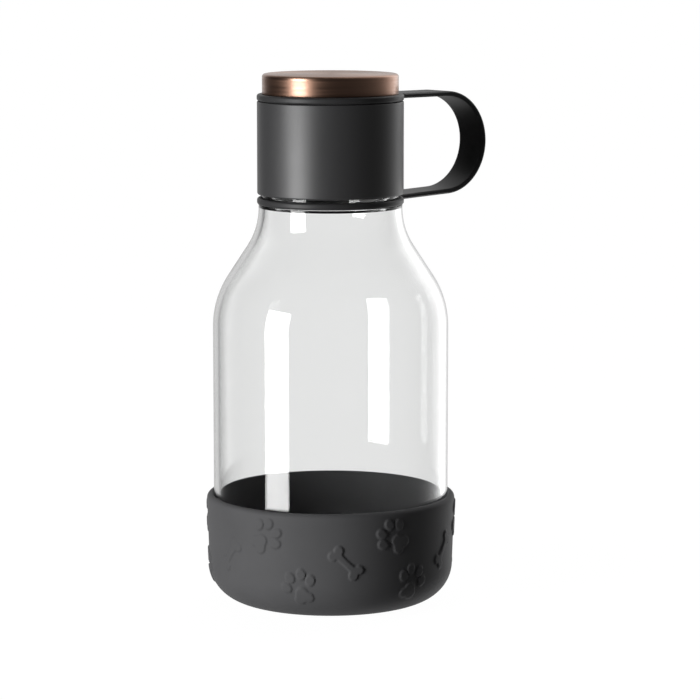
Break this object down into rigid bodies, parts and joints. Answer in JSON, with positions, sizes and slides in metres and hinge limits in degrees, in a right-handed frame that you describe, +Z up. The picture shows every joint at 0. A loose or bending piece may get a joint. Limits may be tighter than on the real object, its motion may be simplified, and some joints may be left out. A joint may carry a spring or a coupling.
{
  "type": "dog travel water bottle",
  "caption": "Clear water bottle that stands in a push-on soft drinking bowl, with a screw collar, a screw lid and a ring-held carry strap.",
  "frame": {"origin": "centre of the bowl's flat foot, on the surface that the bottle stands on", "axes": "+Z up along the bottle's axis, +X out through the carry strap's loop"},
  "size_m": [0.1482, 0.1174, 0.2479],
  "materials": {
    "bowl_silicone": "matt moulded silicone",
    "clear_plastic": "clear glossy moulded plastic",
    "strap_silicone": "smooth matt silicone",
    "collar_plastic": "fine matt moulded plastic",
    "liner_plastic": "smooth moulded plastic",
    "gasket_silicone": "translucent silicone",
    "copper_metal": "copper-coloured metal, brushed round its axis"
  },
  "bodies": {
    "drinking_bowl": {"bowl": "bowl_silicone"},
    "clear_bottle": {"bottle": "clear_plastic"},
    "collar_carrier": {"neck_gasket": "gasket_silicone"},
    "collar": {"collar_sleeve": "collar_plastic", "collar_liner": "liner_plastic"},
    "strap": {"carry_strap": "strap_silicone"},
    "lid_carrier": {"lid_gasket": "gasket_silicone"},
    "lid": {"lid_shell": "copper_metal", "lid_liner": "liner_plastic"}
  },
  "joints": [
    {"name": "bottle_lift", "type": "slide", "parent": "drinking_bowl", "child": "clear_bottle", "axis": [0, 0, 1], "range_m": [0, 0.06]},
    {"name": "collar_rise", "type": "slide", "parent": "clear_bottle", "child": "collar_carrier", "axis": [0, 0, 1], "range_m": [0, 0.024]},
    {"name": "collar_turn", "type": "hinge", "parent": "collar_carrier", "child": "collar", "pos_m": [0, 0, 0.2], "axis": [0, 0, 1], "range_deg": [0, 1080]},
    {"name": "strap_swivel", "type": "hinge", "parent": "collar_carrier", "child": "strap", "pos_m": [0, 0, 0.2], "axis": [0, 0, 1], "continuous": true},
    {"name": "lid_rise", "type": "slide", "parent": "collar", "child": "lid_carrier", "axis": [0, 0, 1], "range_m": [0, 0.0075]},
    {"name": "lid_turn", "type": "hinge", "parent": "lid_carrier", "child": "lid", "pos_m": [0, 0, 0.24], "axis": [0, 0, 1], "range_deg": [0, 540]}
  ],
  "couplings": [
    {"joint": "collar_rise", "follows": "collar_turn", "m_per_rad": 0.0012732},
    {"joint": "lid_rise", "follows": "lid_turn", "m_per_rad": 0.00079577}
  ]
}
